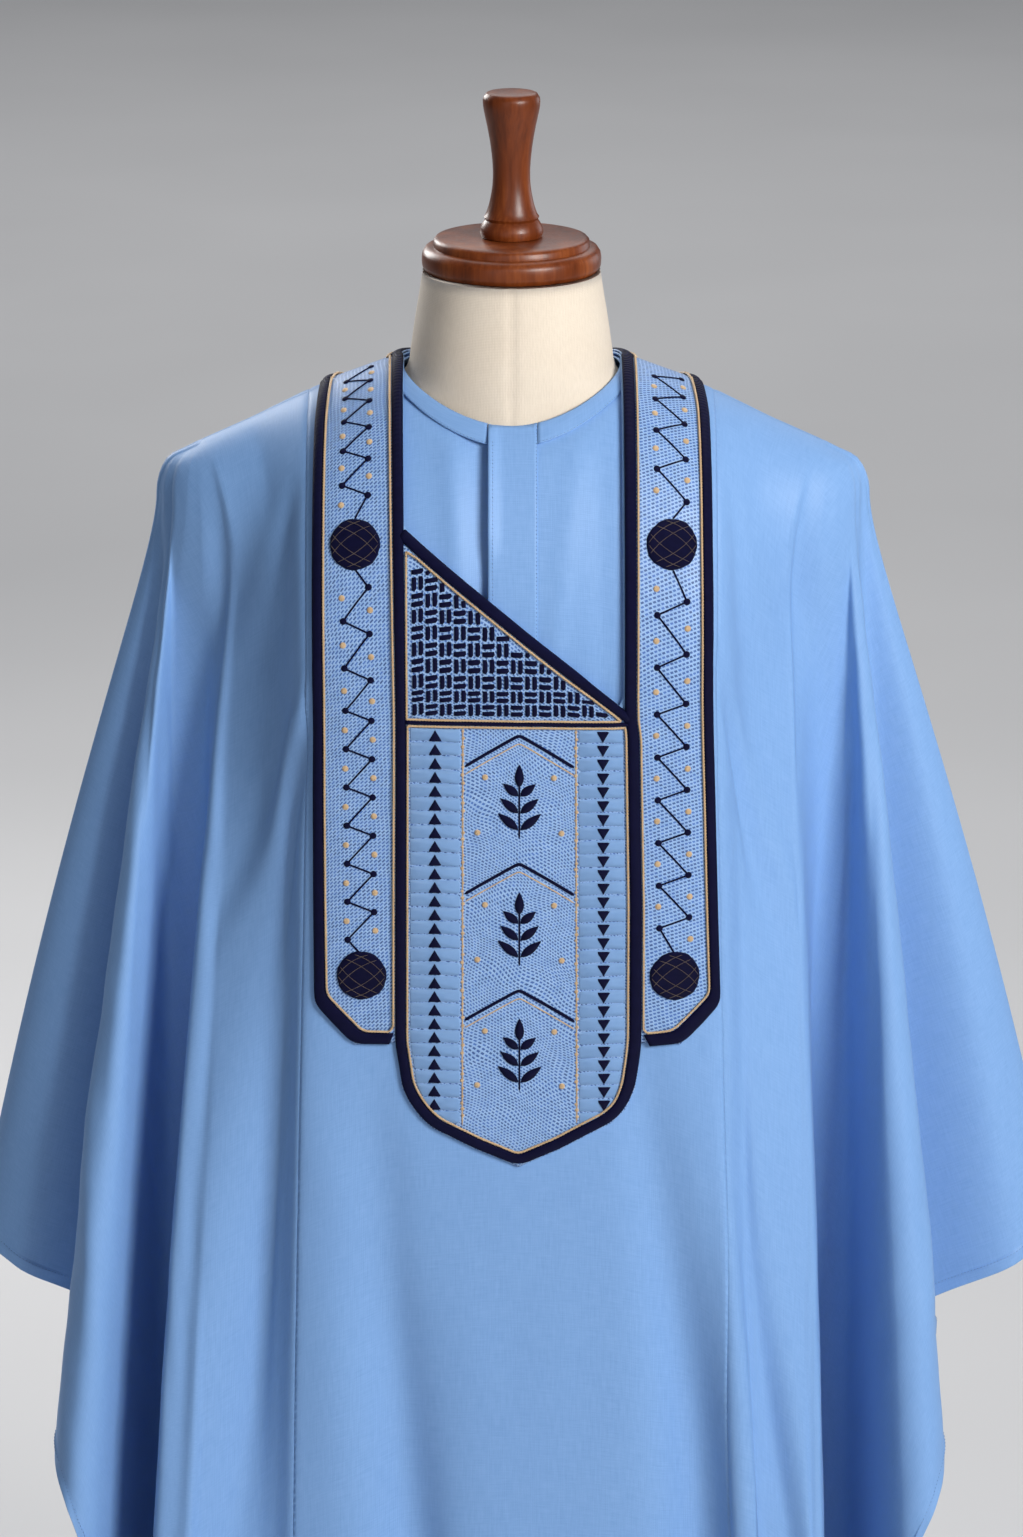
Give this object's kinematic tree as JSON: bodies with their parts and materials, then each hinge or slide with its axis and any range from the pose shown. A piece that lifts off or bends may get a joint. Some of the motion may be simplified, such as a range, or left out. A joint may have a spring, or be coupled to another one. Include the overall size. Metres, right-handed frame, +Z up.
{
  "type": "grand boubou robe on a dress form",
  "caption": "Wide blue robe with an embroidered bib hanging in deep folds from a limbless dress form with a turned wooden cap, on a pole and a round base.",
  "frame": {"origin": "centre of the stand base's underside, on the floor", "axes": "+Z up along the pole, -Y out of the robe's front, +X to the viewer's right when the front is seen"},
  "size_m": [0.7681, 0.407, 1.6795],
  "materials": {
    "robe_cloth": "satin cotton, plain weave",
    "bib_thread": "dense embroidery in two blues",
    "navy_thread": "padded satin stitch",
    "linen": "natural linen cover",
    "wood": "red-brown satin varnish",
    "pole_paint": "dark satin paint"
  },
  "bodies": {
    "root": {"front_centre": "robe_cloth", "back_centre": "robe_cloth", "front_wing_left": "robe_cloth", "front_wing_right": "robe_cloth", "back_wing_left": "robe_cloth", "back_wing_right": "robe_cloth", "inset_left": "robe_cloth", "inset_right": "robe_cloth", "placket": "robe_cloth", "inset_neck_band": "robe_cloth", "bib_band_left": "bib_thread", "bib_band_right": "bib_thread", "bib_triangle": "bib_thread", "bib_pocket": "bib_thread", "neck_band_back": "bib_thread", "edge_left": "navy_thread", "edge_right": "navy_thread", "edge_centre": "navy_thread", "edge_diagonal": "navy_thread", "edge_back_inner": "navy_thread", "edge_back_outer": "navy_thread", "roundel_upper_left": "navy_thread", "roundel_lower_left": "navy_thread", "roundel_upper_right": "navy_thread", "roundel_lower_right": "navy_thread", "form_torso": "linen", "neck_cap": "wood", "cap_handle": "wood", "stand_base": "wood", "stand_pole": "pole_paint"}
  },
  "joints": []
}
